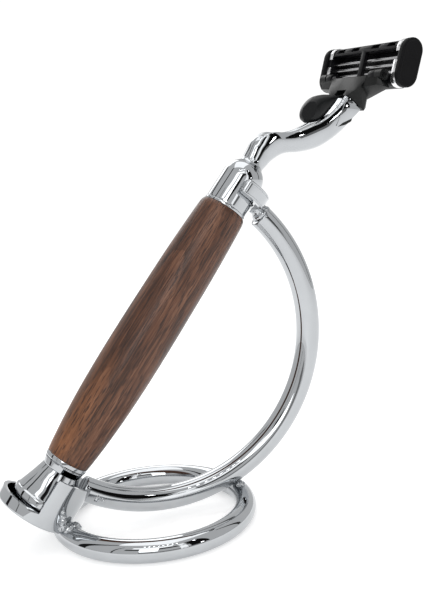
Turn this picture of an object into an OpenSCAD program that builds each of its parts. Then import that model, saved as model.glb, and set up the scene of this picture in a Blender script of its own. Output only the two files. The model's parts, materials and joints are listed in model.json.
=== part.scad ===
// A chrome rod stand that holds a wood-handled cartridge razor at a slant.
// The stand is mirror symmetric about the XZ plane; the razor lies a little turned
// in it. Z is up, and the origin is the centre of the foot ring, on the surface
// that the stand rests on.
// The handle, the neck and the head are laid out along the handle's own axis:
// local Z runs up the handle from the lower end of the grip, and local +X
// points down to the right, away from the open side of the cup and fork.

/* [Stand] */
// Radius of the foot ring, to the middle of its rod
foot_ring_r = 26; // [24:0.5:28]
// Diameter of the foot ring's rod
foot_rod_d = 6; // [5.5:0.1:6.5]
// Diameter of the arc's rod
arc_rod_d = 6.9; // [6:0.1:7.2]
// Radius of the arc, to the middle of its rod
arc_r = 45.6; // [45:0.1:46]

/* [Cup] */
// Outer radius of the cradle cup
cup_r = 10.6; // [10.2:0.1:11]
// Thickness of the cup's wall
cup_wall = 1.1; // [0.9:0.1:1.2]
// Height of the low rim on the cup's open side
cup_rim_h = 3.3; // [3:0.1:3.6]
// Height of the tall half wall
cup_wall_h = 13.2; // [11:0.2:13.4]

/* [Handle] */
// Lean of the handle from upright
lean = 37.9; // [37.9:0.1:38]
// Length of the wooden grip
grip_len = 81.2; // [81:0.1:81.4]
// Diameter at the grip's fullest point
grip_d = 16; // [15:0.1:16.4]
// Diameter of the grip's ends
grip_end_d = 12.3; // [12:0.1:12.4]
// Diameter of the steel stud that ties the handle together
stud_d = 5; // [4:0.1:5.5]

/* [Head] */
// Width of the cartridge over its end caps
cartridge_w = 38; // [37.5:0.5:40]
// Height of the cartridge
cartridge_h = 13.6; // [13.6:0.1:13.8]
// Thickness of the end caps
cartridge_t = 7; // [6.8:0.1:7.2]
// Travel of the release button
button_travel = 2; // [1:0.1:2]

/* [Hidden] */
$fn = 96;

far = 100;                            // larger than any one piece

// Stand
foot_flat = 0.15;                     // ground off the ring's underside
arc_mid = [5.5, 51];                  // X and Z of the arc's centre
arc_from = -124;                      // angle of the arc's foot, from +X towards +Z
arc_to = 45;                          // angle of the arc's top end
handle_foot = [-23, 21.8];            // X and Z of the grip's lower end
razor_turn = 9;                       // of the razor in its cup, about its own axis

// Cup, along the handle from the grip's lower end
cup_base = -17;
cup_floor_t = 1.2;
cup_shift = -0.7;                     // towards the cup's open side
cup_cut = -2;                         // where the tall wall is cut away
seat_gap = 0.15;                      // between the bell and the cup's floor

// Handle, along its axis
bell_foot = cup_base + cup_floor_t + seat_gap;
bell_rim_r = 8.5;
bell_rim_z = -11.6;
bell_waist_r = 5.4;
bell_waist_z = -3.4;
washer_top = grip_len + 0.8;
ferrule_r = 6.1;
ferrule_top = 97.4;
stud_from = -9;
stud_to = 91;

// Fork that the ferrule leans in
fork_z = 86.3;
fork_t = 4.1;
fork_in_r = 6.5;
fork_out_r = 9.4;
collar_r = 2.9;
collar_foot = [11.2, 86.2];           // X and Z in the handle's frame, on the arc's end
collar_lean = 17;                     // of its axis, from -X towards +Z
collar_len = 3.4;

// Neck and its tip; the tip is parallel to the handle, beside its axis
tip_x = 15.9;
tip_from = 116;
tip_to = 129;
tip_w = 9;
tip_t = 7.4;
neck_w = 6.2;
neck_root_r = 3.5;

// Button, on the tip's upper side
slot_w = 3;
slot_from = 117.4;
slot_to = 125.2;
slot_depth = 2.7;
stem_len = 3.4;

// Plunger, in a bore along the tip
plunger_x = tip_x + 1.3;
plunger_r = 1.45;
plunger_bore_r = 1.5;
plunger_from = 122;
plunger_to = 133;
bore_from = 116.2;

// Head
head_at = [15.6, 141.9];              // X and Z of the cartridge's centre on the razor
head_lean = -23;                      // of the cartridge from the handle's axis
frame_t = 5;
pivot = [-4.6, -4.2];                 // X and Z in the cartridge's own frame
pivot_pin_r = 0.8;
pivot_clear = 0.05;
lug_r = 1.6;
lug_y = [9, 11.6];
cheek_y = [11.8, 14.6];
wing_x = -5.8;
wing_t = 1.6;
wing_y = 15;
wing_z = [-7.3, -4.4];
tray_t = 0.3;                         // of the wing's lip under the cartridge
tray_x = -2;
dock_gap = 0.15;
blade_pitch = 2;
blade_low_z = -2.3;
cap_len = 2;
inside = cartridge_w - 2 * cap_len - 2.4; // between the frame's end walls
fit_gap = 0.1;                        // at each end of what lies between them
clip_w = 1.9;
clip_t = 0.35;
clip_gap = [0.4, 2.7];                // open at the back between these heights
face_len = cartridge_w - 2 * (cap_len + clip_w + 0.15); // of the strip and the fins

// Frames of reference
module on_handle(z = 0)
    translate([handle_foot[0], 0, handle_foot[1]]) rotate([0, lean, 0]) translate([0, 0, z])
        children();

module on_razor(z = 0)
    on_handle() rotate([0, 0, razor_turn]) translate([0, 0, z]) children();

module on_cartridge()
    on_razor(head_at[1]) translate([head_at[0], 0, 0]) rotate([0, head_lean, 0]) children();

// The XY plane stood up as the XZ plane
module in_side_view() rotate([90, 0, 0]) children();

module both_sides() {
    children();
    mirror([0, 1, 0]) children();
}

// Points of an arc about a centre, from one angle to another
function arc_points(c, r, from, to, n) =
    [for (i = [0 : n]) let (a = from + (to - from) * i / n) c + r * [cos(a), sin(a)]];

// A hollow sleeve
module sleeve(r_out, r_in, len)
    difference() {
        cylinder(r = r_out, h = len);
        translate([0, 0, -1]) cylinder(r = r_in, h = len + 2);
    }

// A stadium of height h and thickness t in the XZ plane, len deep along Y
module stadium(h, t, len)
    rotate([90, 0, 0]) linear_extrude(height = len, center = true) {
        for (side = [-1, 1]) translate([0, side * (h - t) / 2]) circle(d = t);
        square([t, h - t], center = true);
    }

// ---- Stand ----

// Space inside the cup, out to the middle of its wall
module cup_space()
    on_handle(cup_base + cup_floor_t / 2) translate([cup_shift, 0, 0])
        cylinder(r = cup_r - cup_wall / 2, h = far);

// Ring of round rod with a narrow flat ground on its underside, cut away for the cup
module foot_ring()
    color("silver") difference() {
        translate([0, 0, foot_rod_d / 2 - foot_flat])
            rotate_extrude() translate([foot_ring_r, 0]) circle(d = foot_rod_d);
        translate([-far / 2, -far / 2, -far]) cube(far);
        cup_space();
    }

// Round rod bent to an arc, from the cup, over the ring and up to the fork
module arc_rod()
    color("silver") translate([arc_mid[0], 0, arc_mid[1]]) in_side_view() rotate(arc_from)
        rotate_extrude(angle = arc_to - arc_from) translate([arc_r, 0]) circle(d = arc_rod_d);

// Cup with a low rim on one side and a tall half wall on the other
module cradle_cup()
    color("silver") on_handle(cup_base) translate([cup_shift, 0, 0]) difference() {
        rotate_extrude() polygon(concat(
            [[0, 0]],
            arc_points([cup_r - 0.8, 0.8], 0.8, -90, 0, 4),
            [[cup_r, cup_wall_h], [0, cup_wall_h]]));
        translate([0, 0, cup_floor_t]) cylinder(r = cup_r - cup_wall, h = far);
        translate([cup_cut - cup_shift - far, -far / 2, cup_rim_h]) cube(far);
    }

// C-shaped fork round the ferrule, open on the upper left
module rest_fork() {
    prong_mid = (fork_in_r + fork_out_r) / 2;
    color("silver") on_handle(fork_z) {
        difference() {
            sleeve(fork_out_r, fork_in_r, fork_t);
            translate([-far, -far / 2, -1]) cube([far, far, fork_t + 2]);
            for (z = [fork_t / 3, 2 * fork_t / 3]) translate([0, 0, z])
                rotate_extrude() translate([fork_out_r, 0]) circle(r = 0.25, $fn = 24);
        }
        both_sides() translate([0, prong_mid, 0]) cylinder(d = fork_out_r - fork_in_r, h = fork_t);
    }
}

// Collar on the arc's end, tapered into the fork's back
module fork_collar()
    color("silver") on_handle() translate([collar_foot[0], 0, collar_foot[1]])
        rotate([0, collar_lean - 90, 0]) {
            cylinder(r = collar_r, h = collar_len / 2);
            translate([0, 0, collar_len / 2]) cylinder(r1 = collar_r, r2 = collar_r - 0.5, h = collar_len / 2);
        }

// Lumps of braze where the rods meet the cup and each other
module braze_beads()
    color("darkgray") {
        difference() {
            union() {
                both_sides() translate([-23.6, 6.2, 4.6]) sphere(r = 2.2, $fn = 48);
                translate([-18.9, 0, 12.2]) sphere(r = 4.1, $fn = 48);
            }
            cup_space();
        }
        both_sides() translate([25.6, 2.6, 5.6]) sphere(r = 1.5, $fn = 48);
    }

// ---- Handle ----

// Flared bell that stands in the cup, drilled for the stud
module end_bell()
    color("gainsboro") on_razor() difference() {
        rotate_extrude() polygon(concat(
            [[0, bell_foot], [6.4, bell_foot]],
            arc_points([6.9, bell_foot + 1.6], 1.6, -60, 0, 4),
            arc_points([bell_rim_r - 0.6, bell_rim_z], 0.6, -20, 30, 3),
            arc_points([28.45, 0.5], 23.4, 209.5, 190, 8),
            [[bell_waist_r, bell_waist_z], [0, bell_waist_z]]));
        translate([0, 0, stud_from]) cylinder(d = stud_d, h = far);
    }

// Chrome ferrule between the bell and the grip
module lower_ferrule()
    color("silver") on_razor() difference() {
        rotate_extrude() polygon([
            [0, bell_waist_z], [bell_waist_r, bell_waist_z], [ferrule_r - 0.35, -1.5],
            [ferrule_r - 0.15, -1.3], [ferrule_r, -0.9], [ferrule_r, 0], [0, 0]]);
        translate([0, 0, bell_waist_z - 1]) cylinder(d = stud_d, h = far);
    }

// Turned wooden grip, fullest a little above its middle
module grip_barrel() {
    rise = (grip_d - grip_end_d) / 2;
    swell_r = (pow(grip_len / 2, 2) + pow(rise, 2)) / (2 * rise);
    color("saddlebrown") on_razor() difference() {
        rotate_extrude() intersection() {
            square([grip_d, grip_len]);
            translate([grip_d / 2 - swell_r, grip_len / 2 + 1.6]) circle(r = swell_r, $fn = 720);
        }
        translate([0, 0, -1]) cylinder(d = stud_d + 0.2, h = grip_len + 2);
    }
}

// Steel stud that draws the bell and the upper ferrule on to the grip
module tie_stud()
    color("dimgray") on_razor(stud_from) cylinder(d = stud_d, h = stud_to - stud_from);

// Thin bright washer at the grip's upper end
module grip_washer()
    color("silver") on_razor(grip_len) sleeve(ferrule_r + 0.2, stud_d / 2, washer_top - grip_len);

// Bullet-shaped ferrule that leans in the fork
module upper_ferrule()
    color("silver") on_razor() difference() {
        rotate_extrude() polygon(concat(
            [[0, washer_top], [ferrule_r, washer_top]],
            arc_points([0, 91], 6, 0, 54, 8),
            [[3.3, ferrule_top], [0, ferrule_top]]));
        translate([0, 0, washer_top - 1]) cylinder(d = stud_d, h = stud_to - washer_top + 1);
    }

// Side outline of the neck: up from the ferrule, level, then up again to the tip
module neck_outline()
    polygon(concat(
        [[-neck_root_r, ferrule_top]],
        arc_points([0.4, 102.6], 3.9, 190, 127, 5),
        arc_points([2.4, 116.1], 5.3, -52, -10, 4),
        [[8.8, 116.6], [tip_x - tip_t / 2, tip_from + 2.6], [tip_x - tip_t / 2, tip_to],
         [tip_x + tip_t / 2, tip_to]],
        arc_points([tip_x + tip_t / 2 - 14.45, 122.2], 14.45, 0, -57, 8),
        arc_points([8.1, 102.4], 3.4, 128, 180, 4),
        [[neck_root_r, ferrule_top]]));

// S-shaped neck with a broad tip, slotted for the button and bored for the plunger
module neck()
    color("silver") on_razor() difference() {
        union() {
            in_side_view() linear_extrude(height = neck_w, center = true) neck_outline();
            in_side_view() linear_extrude(height = tip_w, center = true) intersection() {
                neck_outline();
                translate([0, tip_from]) square(far);
            }
        }
        translate([plunger_x, 0, bore_from]) cylinder(r = plunger_bore_r, h = far);
        translate([tip_x - tip_t / 2 - 5, -slot_w / 2, slot_from])
            cube([slot_depth + 5, slot_w, slot_to - slot_from]);
    }

// Teardrop button with a stem that slides in the neck's slot
module release_button() {
    base = tip_x - tip_t / 2 - dock_gap;
    color("black") on_razor() {
        hull() {
            translate([base - 3.9, 0, 121]) sphere(r = 3.3, $fn = 32);
            translate([base - 2.2, 0, 120]) sphere(r = 2.2, $fn = 32);
            translate([base - 0.9, 0, 127.2]) sphere(r = 0.9, $fn = 32);
        }
        translate([base - 1, -slot_w / 2 + 0.1, slot_from + 0.1])
            cube([slot_depth + 0.9, slot_w - 0.2, stem_len]);
    }
}

// Return spring ahead of the button's stem, as its outer sleeve
module button_spring() {
    from = slot_from + stem_len + 0.15;
    color("gray") on_razor(from) translate([tip_x - tip_t / 2 + 1.3, 0, 0])
        sleeve(1.15, 0.75, slot_to - from - 0.05);
}

// Plunger that presses on the cartridge's back through the dock
module plunger()
    color("dimgray") on_razor() translate([plunger_x, 0, 0]) {
        translate([0, 0, plunger_from]) cylinder(r = plunger_r, h = plunger_to - plunger_from - 1);
        translate([0, 0, plunger_to - 1]) cylinder(r1 = plunger_r, r2 = 0.7, h = 1);
    }

// Spring behind the plunger, as its outer sleeve
module plunger_spring()
    color("gray") on_razor(bore_from + 0.05) translate([plunger_x, 0, 0])
        sleeve(1.35, 0.95, plunger_from - bore_from - 0.1);

// ---- Head ----

// Dock that fits the neck's tip and spreads to carry the cartridge's pivots
module cartridge_dock() {
    stem_from = tip_to + dock_gap;
    color("darkslategray") difference() {
        union() {
            hull() {
                on_razor(stem_from) translate([tip_x - tip_t / 2, -tip_w / 2, 0])
                    cube([tip_t, tip_w, 1]);
                on_razor(stem_from + 1.8) translate([tip_x - tip_t / 2, -6.8, 0])
                    cube([2.4, 13.6, 0.6]);
                on_razor(stem_from + 2.4) translate([tip_x - 2.6, -tip_w / 2, 0])
                    cube([5.2, tip_w, 0.5]);
                on_cartridge() translate([wing_x, -8, wing_z[0] + 1.2])
                    cube([wing_t + 0.2, 16, 1.6]);
            }
            hull() {
                on_razor(stem_from + 3) translate([tip_x - 2.6, -tip_w / 2, 0])
                    cube([5.2, tip_w, 0.5]);
                on_cartridge() translate([0, -wing_y, wing_z[0]]) {
                    translate([wing_x, 0, 0]) cube([wing_t, 2 * wing_y, wing_z[1] - wing_z[0]]);
                    translate([wing_x, 0, 0]) cube([tray_x - wing_x, 2 * wing_y, tray_t]);
                }
            }
            on_cartridge() both_sides() translate([pivot[0], cheek_y[0], pivot[1]])
                rotate([-90, 0, 0]) cylinder(r = lug_r, h = cheek_y[1] - cheek_y[0]);
        }
        on_razor(stem_from - 1) translate([tip_x - tip_t / 2 - 1, -2.2, 0])
            cube([2.6, 4.4, button_travel + 1.6]);
        on_razor(stem_from - 1) translate([plunger_x, 0, 0]) cylinder(r = plunger_r + 0.35, h = 12);
        on_cartridge() translate([pivot[0], 0, pivot[1]]) rotate([90, 0, 0])
            cylinder(r = pivot_pin_r, h = 40, center = true);
        on_cartridge() both_sides() translate([pivot[0], lug_y[0] - 0.4, pivot[1]])
            rotate([-90, 0, 0]) cylinder(r = lug_r + 0.35, h = cheek_y[0] - lug_y[0] + 0.4);
    }
}

// Two pivot pins, pressed into the dock's cheeks
module pivot_pins()
    color("gray") on_cartridge() both_sides() translate([pivot[0], lug_y[0], pivot[1]])
        rotate([-90, 0, 0]) cylinder(r = pivot_pin_r, h = cheek_y[1] - lug_y[0]);

// Moulded frame: two rails, end walls, a middle rib, slots and pivot lugs
module cartridge_frame() {
    len = cartridge_w - 2 * cap_len;
    window_top = 3.7;
    window_foot = -3.3;
    color("dimgray") on_cartridge() difference() {
        union() {
            difference() {
                stadium(cartridge_h - 2 * clip_t, frame_t, len);
                translate([-far / 2, -inside / 2, window_foot])
                    cube([far, inside, window_top - window_foot]);
                for (y = [-11.8, -4.7, 4.7, 11.8]) translate([0, y, 5.1])
                    cube([far, 3.6, 1.2], center = true);
            }
            translate([-frame_t / 2, -0.9, window_foot - 0.5])
                cube([1.3, 1.8, window_top - window_foot + 1]);
            both_sides() difference() {
                union() {
                    translate([pivot[0], lug_y[0], pivot[1]]) rotate([-90, 0, 0])
                        cylinder(r = lug_r - 0.1, h = lug_y[1] - lug_y[0]);
                    translate([pivot[0], lug_y[0], pivot[1] - 1.3])
                        cube([3.2, lug_y[1] - lug_y[0], 2.6]);
                }
                translate([pivot[0], lug_y[0] - 1, pivot[1]]) rotate([-90, 0, 0])
                    cylinder(r = pivot_pin_r + pivot_clear, h = 8);
            }
        }
        translate([1.9, 0, 5]) cube([2, len - 2, 3], center = true);
        translate([1.9, 0, -5]) cube([2, len - 2, 3], center = true);
    }
}

// Bent steel support behind one blade
module support(i)
    color("lightgray") on_cartridge() translate([0, 0, blade_low_z + i * blade_pitch])
        difference() {
            translate([-1.1, fit_gap - inside / 2, -0.55]) cube([2, inside - 2 * fit_gap, 1.1]);
            translate([-1.2, -inside / 2, -0.3]) cube([1.9, inside, 2]);
        }

// One blade, lying on its support with its edge at the face
module blade(i)
    color("white") on_cartridge() translate([0.4, 0, blade_low_z + i * blade_pitch + 0.1])
        rotate([0, -22, 0]) translate([0.6, fit_gap - inside / 2, 0.3])
            cube([1.6, inside - 2 * fit_gap, 0.2]);

module support_lower() support(0);
module support_middle() support(1);
module support_upper() support(2);
module blade_lower() blade(0);
module blade_middle() blade(1);
module blade_upper() blade(2);

// Strip that glides on the skin, set in the upper rail's face
module lubricating_strip()
    color("teal") on_cartridge() translate([0.95, -face_len / 2, 3.6])
        cube([1.9, face_len, 2.8]);

// Soft fins set in the lower rail's face
module guard_fins()
    color("black") on_cartridge() translate([0.95, -face_len / 2, -6.4]) {
        cube([1.3, face_len, 2.8]);
        for (i = [0 : 3]) translate([0, 0, 0.1 + i * 0.7]) cube([1.9, face_len, 0.35]);
    }

// Oval end cap
module end_cap(side)
    color("black") on_cartridge() translate([0, side * (cartridge_w - cap_len) / 2, 0])
        stadium(cartridge_h, cartridge_t, cap_len);

module near_cap() end_cap(-1);
module far_cap() end_cap(1);

// Thin metal clip wrapped round the frame beside its end cap, open at the back
module clip(side)
    color("silver") on_cartridge()
        translate([0, side * (cartridge_w / 2 - cap_len - clip_w / 2 - 0.05), 0]) difference() {
            stadium(cartridge_h, frame_t + 2 * clip_t, clip_w);
            stadium(cartridge_h - 2 * clip_t, frame_t, clip_w + 1);
            translate([-far, -far / 2, clip_gap[0]]) cube([far, far, clip_gap[1] - clip_gap[0]]);
        }

module near_clip() clip(-1);
module far_clip() clip(1);

foot_ring();
arc_rod();
cradle_cup();
rest_fork();
fork_collar();
braze_beads();
end_bell();
lower_ferrule();
grip_barrel();
tie_stud();
grip_washer();
upper_ferrule();
neck();
release_button();
button_spring();
plunger();
plunger_spring();
cartridge_dock();
pivot_pins();
cartridge_frame();
support_lower();
support_middle();
support_upper();
blade_lower();
blade_middle();
blade_upper();
lubricating_strip();
guard_fins();
near_cap();
far_cap();
near_clip();
far_clip();
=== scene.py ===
"""A chrome rod stand and the wood-handled cartridge razor that it holds.

Run as a script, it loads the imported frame, makes every visible piece in place and sets the stage.
Lengths inside the making functions are in millimetres, in the frame that each piece is laid out in;
place_piece() carries them to the stand's own frame in metres.
"""

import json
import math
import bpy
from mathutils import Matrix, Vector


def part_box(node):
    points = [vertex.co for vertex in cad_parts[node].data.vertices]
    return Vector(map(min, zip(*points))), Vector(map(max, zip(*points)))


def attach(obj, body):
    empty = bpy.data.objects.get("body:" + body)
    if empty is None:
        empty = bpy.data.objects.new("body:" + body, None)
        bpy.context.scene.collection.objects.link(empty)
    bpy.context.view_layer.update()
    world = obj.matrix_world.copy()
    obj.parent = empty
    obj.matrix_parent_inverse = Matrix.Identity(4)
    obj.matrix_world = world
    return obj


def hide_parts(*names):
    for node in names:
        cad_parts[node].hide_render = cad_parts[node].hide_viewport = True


bl_info = {
    "name": "Razor Stand",
    "version": (1, 0, 0),
    "blender": (4, 5, 0),
    "location": "3D View > Sidebar > Razor Stand",
    "description": "Makes a chrome razor stand with its wood-handled cartridge razor",
    "category": "Add Mesh",
}

import bmesh
import bpy
from bpy.props import FloatProperty, FloatVectorProperty, PointerProperty
from mathutils import Matrix, Vector, noise

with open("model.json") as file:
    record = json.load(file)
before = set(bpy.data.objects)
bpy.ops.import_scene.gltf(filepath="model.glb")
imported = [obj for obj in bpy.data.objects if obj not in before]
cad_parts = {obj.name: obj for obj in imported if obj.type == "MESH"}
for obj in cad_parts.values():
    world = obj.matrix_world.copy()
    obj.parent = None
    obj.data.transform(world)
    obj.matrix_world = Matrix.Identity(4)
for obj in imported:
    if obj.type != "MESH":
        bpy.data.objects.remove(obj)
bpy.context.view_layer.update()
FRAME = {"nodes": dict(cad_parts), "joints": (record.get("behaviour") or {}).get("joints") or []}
JOINTS = {joint["name"]: joint for joint in FRAME["joints"]}
MM = 0.001


def middle(node):
    """Centre of a CAD node's box."""
    low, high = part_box(node)
    return (low + high) / 2


def layout(origin, up, across):
    """Matrix from a piece's millimetres to the stand's metres; up is its Z and across its Y."""
    axes = Matrix((across.cross(up), across, up)).transposed().to_4x4()
    return Matrix.Translation(origin) @ axes @ Matrix.Scale(MM, 4)


STUD_MIDDLE = 41  # along the handle, from the grip's lower end
HANDLE_UP = Vector(JOINTS["button_slide"]["axis"]).normalized()
RAZOR_ACROSS = Vector(JOINTS["cartridge_pivot"]["axis"]).normalized()
HANDLE_FOOT = middle("tie_stud") - HANDLE_UP * STUD_MIDDLE * MM
HEAD_TILT = math.radians(-23)
HEAD_UP = Matrix.Rotation(HEAD_TILT, 3, RAZOR_ACROSS) @ HANDLE_UP
CUP_BASE, CUP_FLOOR, CUP_SHIFT = -17, 1.2, -0.7  # along the handle, and across it
ON_STAND = Matrix.Scale(MM, 4)
ON_CRADLE = layout(HANDLE_FOOT, HANDLE_UP, Vector((0, 1, 0)))
ON_HANDLE = layout(HANDLE_FOOT, HANDLE_UP, RAZOR_ACROSS)
ON_HEAD = layout((middle("near_cap") + middle("far_cap")) / 2, HEAD_UP, RAZOR_ACROSS)


# ---- Sizes and finishes a user may change ----


def length(name, description, default_mm, low, high):
    return FloatProperty(
        name=name,
        description=description,
        default=default_mm * MM,
        min=low * MM,
        max=high * MM,
        unit="LENGTH",
        subtype="DISTANCE",
        precision=5,
    )


def colour(name, description, default):
    return FloatVectorProperty(
        name=name,
        description=description,
        default=default,
        size=3,
        min=0,
        max=1,
        subtype="COLOR",
    )


def amount(name, description, default, low=0.0, high=1.0):
    return FloatProperty(
        name=name,
        description=description,
        default=default,
        min=low,
        max=high,
        subtype="FACTOR",
    )


class RazorStandSizes(bpy.types.PropertyGroup):
    ring_rod: length("Ring rod", "Diameter of the foot ring's rod", 6, 5, 7)
    ring_radius: length("Ring radius", "Radius of the foot ring, to the middle of its rod", 26, 22, 30)
    ring_flat: length("Ring flat", "Depth ground off the ring's underside", 0.15, 0, 0.5)
    arc_rod: length("Arc rod", "Diameter of the arc's rod", 6.9, 5, 8)
    arc_radius: length("Arc radius", "Radius of the arc, to the middle of its rod", 45.6, 40, 50)
    arc_chamfer: length("Arc chamfer", "Rounding of the edge of the arc's top end", 0.4, 0.05, 1)
    cup_radius: length("Cup radius", "Outer radius of the cradle cup", 10.6, 10, 11)
    cup_wall: length("Cup wall", "Thickness of the cradle cup's wall", 1.1, 0.6, 1.2)
    cup_rim: length("Cup rim", "Height of the cup's low rim", 3.3, 2, 4)
    cup_height: length("Cup height", "Height of the cup's tall half wall", 13.2, 8, 14)
    fork_inner: length("Fork inner radius", "Inner radius of the fork", 6.5, 6.3, 7)
    fork_outer: length("Fork outer radius", "Outer radius of the fork", 9.4, 8.5, 9.4)
    fork_height: length("Fork height", "Height of the fork's band", 4.1, 3, 4.1)
    ferrule_radius: length("Ferrule radius", "Radius of the ferrules at the grip's ends", 6.1, 5, 6.2)
    grip_length: length("Grip length", "Length of the wooden grip", 81.2, 70, 82)
    grip_radius: length("Grip radius", "Radius of the grip at its fullest", 8, 7, 8)
    neck_width: length("Neck width", "Width of the neck across the S bend", 6.2, 4, 7)
    tip_width: length("Tip width", "Width of the neck's broad tip", 9, 7, 9)
    edge_round: length("Edge rounding", "Rounding of moulded edges", 0.22, 0.05, 0.5)


class RazorStandFinishes(bpy.types.PropertyGroup):
    chrome_tint: colour("Chrome", "Tint of the chrome plating", (0.45, 0.465, 0.48))
    chrome_polish: amount("Chrome roughness", "Roughness of the plating where it is duller", 0.07)
    wood_dark: colour("Wood, dark", "Colour of the darkest grain lines", (0.022, 0.008, 0.004))
    wood_middle: colour("Wood, middle", "Colour of most of the wood", (0.096, 0.036, 0.017))
    wood_light: colour("Wood, light", "Colour of the palest bands", (0.215, 0.100, 0.055))
    wood_amber: colour("Wood, amber", "Colour of the warm patch at the lower end", (0.30, 0.115, 0.042))
    wood_gloss: amount("Wood roughness", "Roughness of the oiled wood", 0.40)
    button_black: colour("Button", "Colour of the release button", (0.006, 0.0065, 0.007))
    dock_grey: colour("Dock", "Colour of the dock", (0.004, 0.0045, 0.0045))
    frame_black: colour("Cartridge", "Colour of the cartridge's frame", (0.004, 0.004, 0.005))
    cap_black: colour("End caps", "Colour of the end caps", (0.003, 0.003, 0.0035))
    steel_tint: colour("Steel", "Tint of the steel parts", (0.60, 0.60, 0.61))
    clip_tint: colour("Clips", "Tint of the bright clips", (0.83, 0.83, 0.84))
    strip_pale: colour("Strip", "Colour of the lubricating strip", (0.55, 0.72, 0.70))
    guard_black: colour("Guard", "Colour of the soft guard fins", (0.02, 0.02, 0.022))


class RazorStandStage(bpy.types.PropertyGroup):
    lens: FloatProperty(
        name="Lens",
        description="Focal length of the camera",
        default=45.69,
        min=10,
        max=200,
        unit="CAMERA",
    )
    camera_place: FloatVectorProperty(
        name="Camera",
        description="Place of the camera",
        default=(-0.04764, -0.20229, 0.09180),
        size=3,
        subtype="TRANSLATION",
        unit="LENGTH",
        precision=5,
    )
    floor_colour: colour("Floor", "Colour of the floor", (0.86, 0.86, 0.86))
    tent_light: FloatProperty(
        name="Tent",
        description="Brightness of the white light tent all round",
        default=0.78,
        min=0,
        max=5,
    )
    key_power: FloatProperty(
        name="Key light",
        description="Power of the soft light at the front left",
        default=0.7,
        min=0,
        max=50,
        unit="POWER",
    )


def sizes():
    return bpy.context.scene.razor_stand_sizes


def finishes():
    return bpy.context.scene.razor_stand_finishes


def stage():
    return bpy.context.scene.razor_stand_stage


def mm(value):
    return value / MM


# ---- Making and placing meshes ----


def arc(x, z, radius, start, end, steps):
    """Points of an arc about (x, z), from one angle to another in degrees."""
    return [
        (x + radius * math.cos(a), z + radius * math.sin(a))
        for a in (math.radians(start + (end - start) * i / steps) for i in range(steps + 1))
    ]


def flowing(points, steps):
    """A smooth row of points through the given ones."""
    knots = [Vector(p) for p in points]
    knots = [2 * knots[0] - knots[1]] + knots + [2 * knots[-1] - knots[-2]]
    row = []
    for a, b, c, d in zip(knots, knots[1:], knots[2:], knots[3:]):
        for i in range(steps):
            t = i / steps
            row.append(
                0.5
                * (
                    2 * b
                    + (c - a) * t
                    + (2 * a - 5 * b + 4 * c - d) * t**2
                    + (3 * b - a - 3 * c + d) * t**3
                )
            )
    row.append(knots[-2])
    return row


def new_parts(result, kind):
    return [g for g in result["geom"] if isinstance(g, kind)]


def linked_edges(verts):
    return list({e for v in verts for e in v.link_edges})


def sliced(bm, place, normal, clear_inner=False, clear_outer=False):
    """Cuts the whole mesh along a plane."""
    return bmesh.ops.bisect_plane(
        bm,
        geom=bm.verts[:] + bm.edges[:] + bm.faces[:],
        plane_co=place,
        plane_no=normal,
        clear_inner=clear_inner,
        clear_outer=clear_outer,
    )


def rounded(bm, edges, offset, segments, clamp=False):
    """Rounds the given edges."""
    bmesh.ops.bevel(
        bm,
        geom=edges,
        offset=offset,
        offset_type="OFFSET",
        segments=segments,
        profile=0.5,
        affect="EDGES",
        material=-1,
        clamp_overlap=clamp,
    )


def spun(bm, geometry, centre=(0, 0, 0), axis=(0, 0, 1), angle=math.tau, steps=128, merge=True):
    bmesh.ops.spin(
        bm, geom=geometry, cent=centre, axis=axis, angle=angle, steps=steps, use_merge=merge
    )


def turned(bm, profile, frame=None, steps=128):
    """Turns a profile of (radius, height) about Z; its ends lie on the axis or are left open."""
    verts = [bm.verts.new((x, 0, z)) for x, z in profile]
    edges = [bm.edges.new(pair) for pair in zip(verts, verts[1:])]
    made = set(bm.verts)
    spun(bm, verts + edges, steps=steps)
    verts += [v for v in bm.verts if v not in made]
    poles = [v for v in verts if math.hypot(v.co.x, v.co.y) < 1e-4]
    bmesh.ops.remove_doubles(bm, verts=poles, dist=1e-3)
    verts = [v for v in verts if v.is_valid]
    if frame is not None:
        bmesh.ops.transform(bm, matrix=frame, verts=verts)
    return verts


def oval(squareness, segments=56):
    """Points of a unit oval; a squareness of 2 is round."""
    points = []
    for i in range(segments):
        x, y = (f(math.tau * i / segments) for f in (math.cos, math.sin))
        points.append(tuple(math.copysign(abs(c) ** (2 / squareness), c) for c in (x, y)))
    return points


def swept(bm, stations, sections):
    """Carries a closed section along stations, each a matrix, and closes both ends."""
    ring = [bm.verts.new(stations[0] @ Vector((x, y, 0))) for x, y in sections[0]]
    edges = [bm.edges.new(pair) for pair in zip(ring, ring[1:] + ring[:1])]
    bmesh.ops.contextual_create(bm, geom=edges)
    verts = list(ring)
    for station, section in zip(stations[1:], sections[1:]):
        order = {tuple(v.co): i for i, v in enumerate(ring)}
        moved = new_parts(bmesh.ops.extrude_edge_only(bm, edges=edges), bmesh.types.BMVert)
        ring = sorted(moved, key=lambda v: order[tuple(v.co)])
        edges = [bm.edges.get(pair) for pair in zip(ring, ring[1:] + ring[:1])]
        for v, (x, y) in zip(ring, section):
            v.co = station @ Vector((x, y, 0))
        verts += ring
    bmesh.ops.contextual_create(bm, geom=edges)
    return verts


def side_station(upper, lower, half_width, y=0.0):
    """Station of a sweep seen from the side: its section spans upper to lower in the XZ plane."""
    top = Vector((upper[0], y, upper[1]))
    foot = Vector((lower[0], y, lower[1]))
    across = (foot - top) / 2
    wide = Vector((0, half_width, 0))
    along = across.cross(wide).normalized()
    return Matrix.Translation((top + foot) / 2) @ Matrix((across, wide, along)).transposed().to_4x4()


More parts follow.
